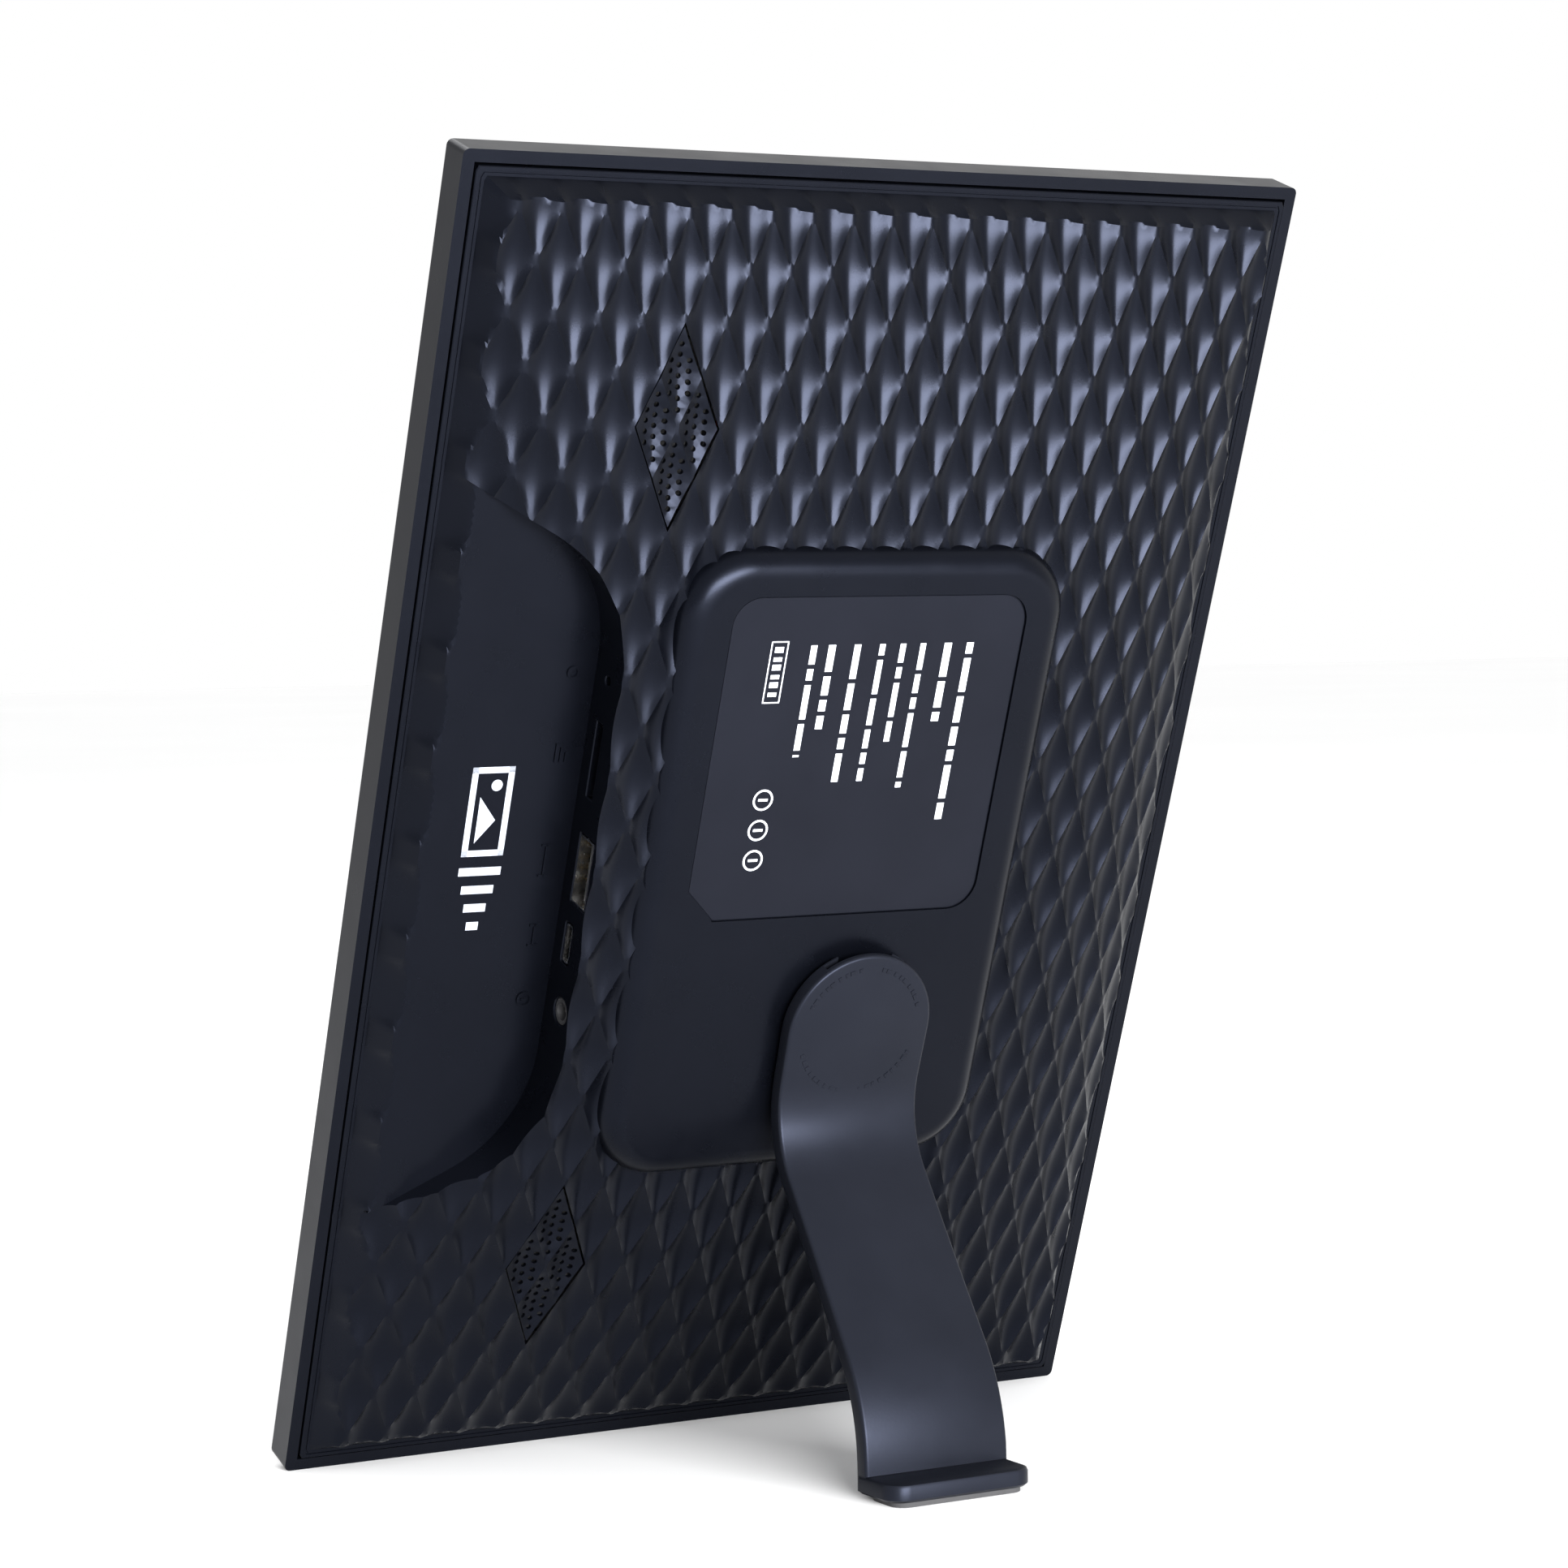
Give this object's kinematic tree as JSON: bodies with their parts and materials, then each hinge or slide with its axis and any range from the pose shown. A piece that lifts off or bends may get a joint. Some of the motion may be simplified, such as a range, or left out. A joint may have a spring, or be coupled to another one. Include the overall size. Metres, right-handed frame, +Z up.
{
  "type": "digital photo frame",
  "caption": "Digital photo frame with a quilted domed back, recessed connector bay and an S-curved swivelling slide-on leg, standing upright and leaning back.",
  "frame": {"origin": "on the surface that the frame stands on, in the middle of its footprint", "axes": "+Z up; the screen faces -Y and leans back by 20 degrees; the back and its leg face +Y; X runs along the short side of the case"},
  "size_m": [0.1746, 0.0978, 0.2439],
  "materials": {
    "case": "satin black ABS moulding",
    "cover": "fine-textured blue-black ABS",
    "leg": "satin black moulding with fine texture",
    "hub": "black acetal",
    "grille": "perforated black insert",
    "label": "printed film label",
    "pad": "soft black foot pad",
    "tape": "black adhesive tape",
    "screen_glass": "dark cover glass",
    "lcd_glass": "unlit display cell",
    "light_guide": "clear acrylic",
    "steel": "plated sheet",
    "screw_steel": "black zinc",
    "port_metal": "nickel plated",
    "gold": "gold flash",
    "flex": "polyimide film",
    "inner_plastic": "black moulding",
    "white_plastic": "natural nylon",
    "cone": "pressed paper",
    "foam": "closed-cell foam",
    "lead": "insulated wire",
    "board": "green solder mask",
    "chip": "moulded package",
    "ferrite": "ferrite and ceramic"
  },
  "bodies": {
    "display": {"front_bezel": "case", "glass_tape": "tape", "touch_glass": "screen_glass", "lcd_panel": "lcd_glass", "light_guide": "light_guide", "backlight_pan": "steel", "lcd_brackets": "steel", "lcd_screws": "screw_steel", "lcd_flex": "flex", "touch_flex": "flex", "back_cover": "cover", "rating_label": "label", "speaker_grille_upper": "grille", "speaker_grille_lower": "grille", "speaker_frame_upper": "inner_plastic", "speaker_frame_lower": "inner_plastic", "speaker_cone_upper": "cone", "speaker_cone_lower": "cone", "speaker_magnet_upper": "steel", "speaker_magnet_lower": "steel", "speaker_gasket_upper": "foam", "speaker_gasket_lower": "foam", "speaker_lead_upper": "lead", "speaker_lead_lower": "lead", "main_board": "board", "board_screws": "screw_steel", "main_processor": "chip", "memory_chips": "chip", "power_inductors": "ferrite", "capacitors": "ferrite", "wifi_module": "steel", "panel_connector": "white_plastic", "shield_can": "steel", "usb_a_port": "port_metal", "usb_a_tongue": "inner_plastic", "usb_a_contacts": "gold", "micro_usb_port": "port_metal", "micro_usb_tongue": "inner_plastic", "dc_jack": "inner_plastic", "dc_jack_pin": "port_metal", "card_socket": "port_metal", "reset_switch": "port_metal", "wifi_antenna": "flex", "antenna_lead": "lead", "hub_plate": "steel", "hub_plate_screws": "screw_steel"},
    "hub": {"swivel_hub": "hub", "hub_washer": "steel", "hub_retainer": "steel", "hub_screw": "screw_steel"},
    "leg": {"stand_leg": "leg", "foot_pad": "pad"},
    "reset": {"reset_button": "inner_plastic"}
  },
  "joints": [
    {"name": "stand_swivel", "type": "hinge", "parent": "display", "child": "hub", "pos_m": [-0.00825, 0.00887, 0.08472], "axis": [0, -0.9397, 0.342], "range_deg": [0, 90]},
    {"name": "leg_slide", "type": "slide", "parent": "hub", "child": "leg", "axis": [0, -0.342, -0.9397], "range_m": [0, 0.024]},
    {"name": "reset_press", "type": "slide", "parent": "display", "child": "reset", "axis": [-1, 0, 0], "range_m": [0, 0.00025], "stiffness_N_per_m": 2000, "springref_m": -0.0001}
  ]
}
